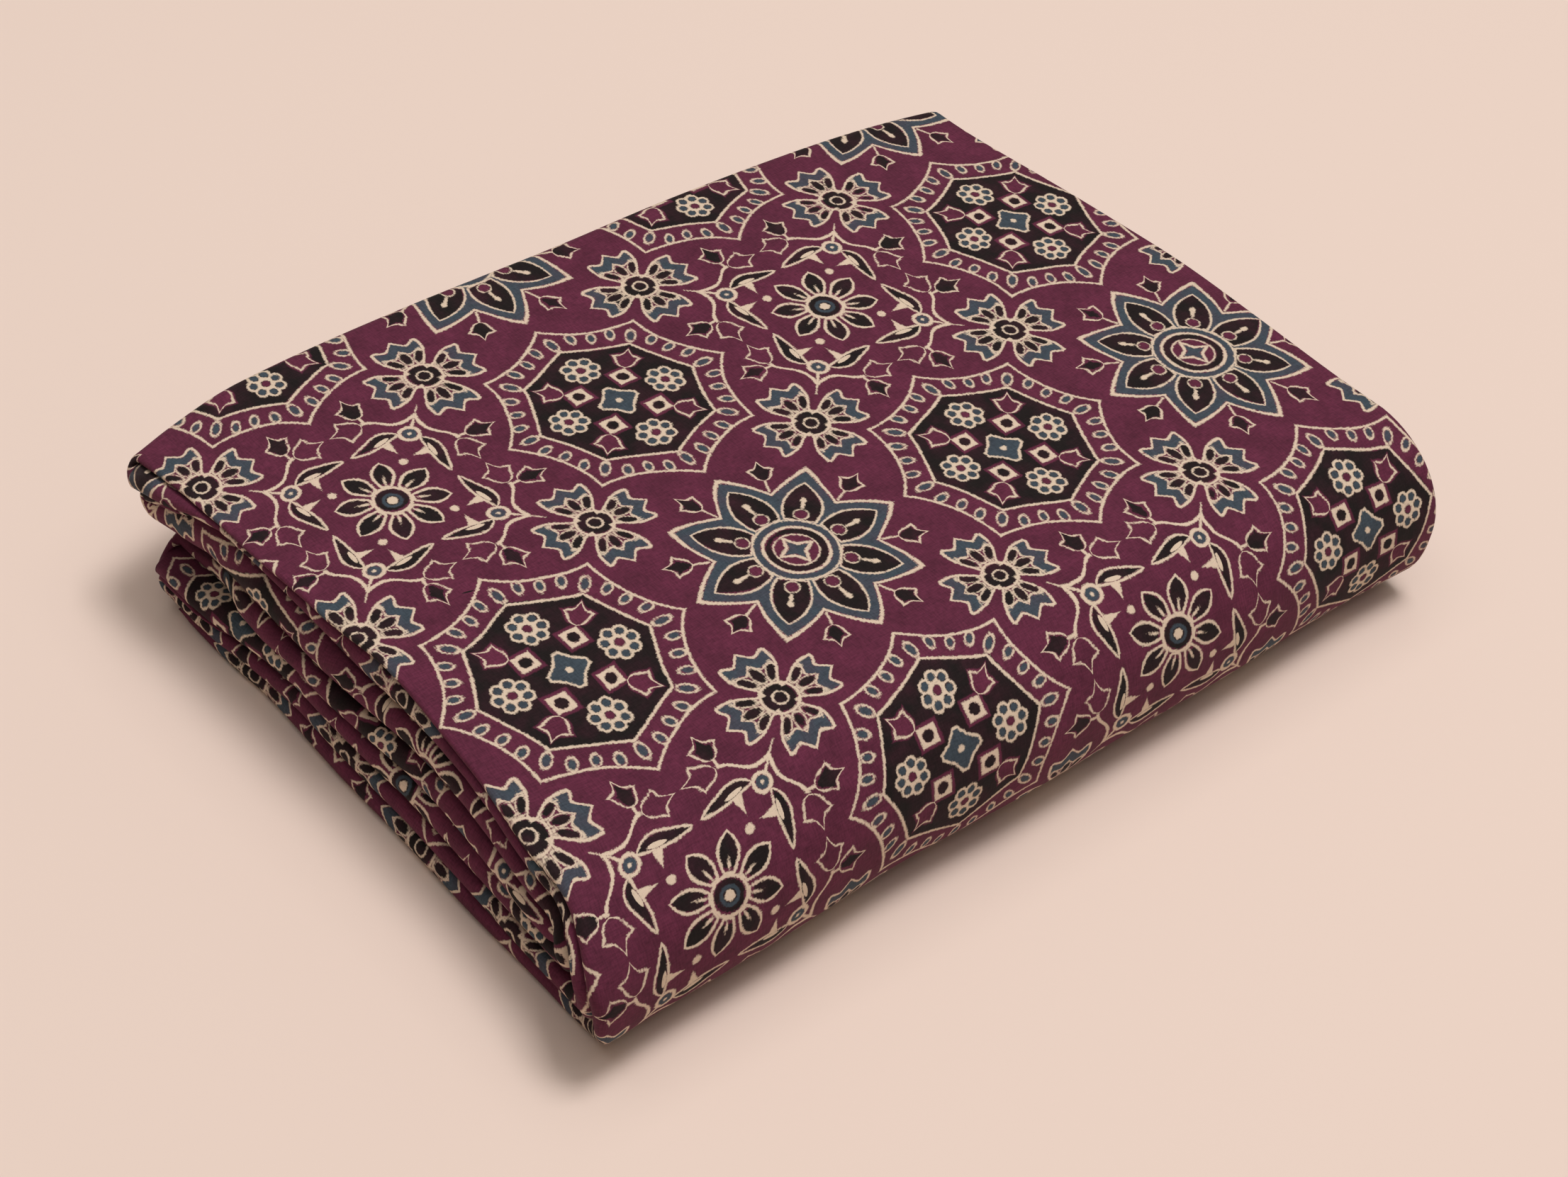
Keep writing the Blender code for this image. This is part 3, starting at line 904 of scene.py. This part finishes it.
dyes.add("cream", disc(far_point, 0.1325, 0.1325, 0.0042))
leaf_line = far_high - curve(far_low, ((0.0, 0.1345), (0.020, 0.1375), (0.045, 0.1415), (0.075, 0.1470),
                                       (0.098, 0.1475), (0.120, 0.1400)))
leaf_half = curve(far_low, ((0.0, -0.0160), (0.009, -0.0010), (0.028, 0.0066), (0.050, 0.0112),
                            (0.075, 0.0140), (0.096, 0.0105), (0.112, 0.0030), (0.120, -0.0060),
                            (0.130, -0.0200)))
leaf = abs(leaf_line) - leaf_half
dyes.add("black", leaf + 0.0020)
dyes.add("cream", edge_line(leaf, 0.0060))
dyes.add("cream", oval(far_point, 0.1410, 0.0770, 0.0046, 0.0185, -8.0))
thorn_aside = abs(maths("MULTIPLY_ADD", far_high, 0.10, far_low - 0.0925))
dyes.add("cream", most(thorn_aside - maths("MULTIPLY_ADD", far_high, 0.32, -0.0320), far_high - 0.1350))
print("nodes after the flower:", len(tree.nodes))

# %% Its vines and buds
diagonal = (far_high + far_low) * root
off_diagonal = (far_high - far_low) * root
spike = off_diagonal - maths("MULTIPLY_ADD", diagonal, -0.034, 0.0106)
dyes.add("cream", most(spike, 0.200 - diagonal, diagonal - 0.2690))
vine = far_high - curve(far_low, ((0.040, 0.2005), (0.080, 0.2000), (0.095, 0.1935), (0.110, 0.1800),
                                  (0.125, 0.1690), (0.145, 0.1655), (0.175, 0.1715)))
dyes.add("cream", most(abs(vine) - 0.0042, abs(far_low - 0.1235) - 0.0480))
low_bud = bud((0.0435 - far_low) * 0.82, abs(far_high - 0.1990) * 0.84)
dyes.add("cream", edge_line(low_bud, 0.0046))
out_bud = bud((far_high - 0.2430) * 0.90, abs(far_low - 0.0800) * 0.94)
dyes.add("black", out_bud + 0.0055)
dyes.add("cream", edge_line(out_bud, 0.0050))
dyes.add("cream", most(abs(far_low - 0.0815) - 0.0032, abs(far_high - 0.2080) - 0.0110))
print("nodes after the vines:", len(tree.nodes))

# %% [markdown]
# Where dye met paste the edge follows the threads, so a fine noise, drawn out along the two
# thread directions, moves every edge a little. Plum from madder is mottled, black and blue are
# uneven, and the cream lines keep a few stained threads. One dark strand lies near the left
# edge. The weave itself is fine ridges.

# %% Threads and dyes
slubs_along = noise(vector("MULTIPLY", place, (330.0, 60.0, 0.0)), 1.0, 1.0)
slubs_across = noise(vector("MULTIPLY", place, (60.0, 330.0, 0.0)), 1.0, 1.0)
threads = (slubs_along + slubs_across) - 1.0
SOFTNESS = 0.0013
RAGGED = 0.0042
LINE_LOSS = 0.0005
TWILL_PITCH = 0.00066
STRAND_AT = (-0.0868, 0.0011)
PLUM, DEEP_PLUM = (0.132, 0.026, 0.056, 1), (0.100, 0.020, 0.042, 1)
BLACK, BLUE, CREAM = (0.014, 0.010, 0.010, 1), (0.052, 0.071, 0.090, 1), (0.79, 0.63, 0.48, 1)


def printed(dye):
    """1 inside the dye's shapes and 0 outside, over a soft edge moved by the threads."""
    moved = maths("MULTIPLY_ADD", threads, RAGGED, dyes.least_of[dye])
    return maths("MULTIPLY_ADD", moved, -0.5 / SOFTNESS, 0.5, clamp=True)


def mixed(share, under, over):
    """Over laid on under by a share, as colours: sockets 0, 6 and 7 of a Mix node."""
    return Value(node("ShaderNodeMix", {0: share, 6: under, 7: over}, data_type="RGBA").outputs[2])


mottle = noise(place, 16.0, 3.0)
plum = mixed(maths("MULTIPLY_ADD", mottle, 2.4, -0.7, clamp=True), DEEP_PLUM, PLUM)
uneven = maths("MULTIPLY_ADD", mottle, -0.5, 1.18, clamp=True)
blur = noise(place, 9.0, 1.0)
dyes.least_of["black"] = dyes.least_of["black"] + maths("MULTIPLY_ADD", blur, 0.016, -0.0085)
dyes.least_of["cream"] = dyes.least_of["cream"] + LINE_LOSS
colour = mixed(printed("black") * uneven, plum, BLACK)
colour = mixed(printed("blue") * uneven, colour, BLUE)
colour = mixed(printed("plum"), colour, plum)
stained = maths("MULTIPLY_ADD", threads, -0.5, 0.93, clamp=True)
colour = mixed(printed("cream") * stained, colour, CREAM)
grain = maths("MULTIPLY_ADD", threads, 0.55, 1.0)
strand = ((STRAND_AT[0] - STAR_AT[0]) / REPEAT, (STRAND_AT[1] - STAR_AT[1]) / REPEAT)
strand = oval(place, *strand, 0.0105, 0.0016, -14.0)
colour = mixed(maths("MULTIPLY_ADD", strand, -1600.0, 0.6, clamp=True), colour, BLACK)
colour = Value(node("ShaderNodeVectorMath", {0: colour, "Scale": grain}, operation="SCALE").outputs[0])
principled = tree.nodes["Principled BSDF"]
tree.links.new(colour.socket, principled.inputs["Base Color"])
roughness = maths("MULTIPLY_ADD", mottle, 0.16, 0.78)
tree.links.new(roughness.socket, principled.inputs["Roughness"])
principled.inputs["Specular IOR Level"].default_value = 0.12
principled.inputs["Sheen Weight"].default_value = 0.03
principled.inputs["Sheen Roughness"].default_value = 0.5
crumple = noise(place, 4.5, 2.0)
pucker = noise(place, 34.0, 2.0)
metres_x, metres_y = split(metres)
twill = maths("SINE", maths("MULTIPLY", metres_x - metres_y * 1.6, 2 * math.pi / TWILL_PITCH))
relief = crumple * 0.0016 + pucker * 0.00022 + threads * 0.00004 + twill * 0.000012
bump = node("ShaderNodeBump", {"Height": relief, "Distance": 1.0, "Strength": 0.7})
tree.links.new(bump.outputs[0], principled.inputs["Normal"])
print("nodes in the cloth:", len(tree.nodes))

# %% [markdown]
# The studio is a wide pale floor under soft light from above. The key lamp leans a little to the
# right and the front, which gives the narrow shadow along the lips, a very wide one overhead
# softens it, and a faint warm sky fills the rest.

# %% Floor and light
FLOOR_HALF = 3.0
floor_mesh = bpy.data.meshes.new("floor")
floor_mesh.from_pydata([(-FLOOR_HALF, -FLOOR_HALF, 0), (FLOOR_HALF, -FLOOR_HALF, 0),
                        (FLOOR_HALF, FLOOR_HALF, 0), (-FLOOR_HALF, FLOOR_HALF, 0)], [], [(0, 1, 2, 3)])
floor = bpy.data.objects.new("floor", floor_mesh)
bpy.context.scene.collection.objects.link(floor)
paper = bpy.data.materials.new("pale_floor")
paper.use_nodes = True
paper_shader = paper.node_tree.nodes["Principled BSDF"]
paper_shader.inputs["Base Color"].default_value = (0.865, 0.705, 0.62, 1)
paper_shader.inputs["Roughness"].default_value = 0.95
paper_shader.inputs["Specular IOR Level"].default_value = 0.1
floor_mesh.materials.append(paper)
floor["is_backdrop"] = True


def soft_lamp(name, place, aim, size, power, colour):
    """A square area lamp at a place, its -Z turned to the point that it lights."""
    data = bpy.data.lights.new(name, "AREA")
    data.size, data.energy, data.color = size, power, colour
    lamp = bpy.data.objects.new(name, data)
    lamp.location = place
    lamp.rotation_euler = (Vector(aim) - Vector(place)).to_track_quat("-Z", "Y").to_euler()
    bpy.context.scene.collection.objects.link(lamp)


soft_lamp("key", (0.32, -0.20, 2.20), (0, 0, 0), 0.70, 24.0, (0.99, 0.97, 0.97))
soft_lamp("overhead", (0.0, 0.0, 2.20), (0, 0, 0), 2.50, 20.0, (1.0, 0.97, 0.95))
world = bpy.data.worlds.new("studio")
bpy.context.scene.world = world
world.use_nodes = True
sky = world.node_tree.nodes["Background"]
sky.inputs["Color"].default_value = (1.08, 0.97, 0.83, 1)
sky.inputs["Strength"].default_value = 0.19
bpy.context.scene.view_settings.view_transform = "Standard"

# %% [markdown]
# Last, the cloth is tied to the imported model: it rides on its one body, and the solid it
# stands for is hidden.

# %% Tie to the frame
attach(cloth, "root")
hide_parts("cloth")
low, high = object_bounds()
print("visual box, mm:", [round(v * 1000, 1) for v in (*low, *high)])
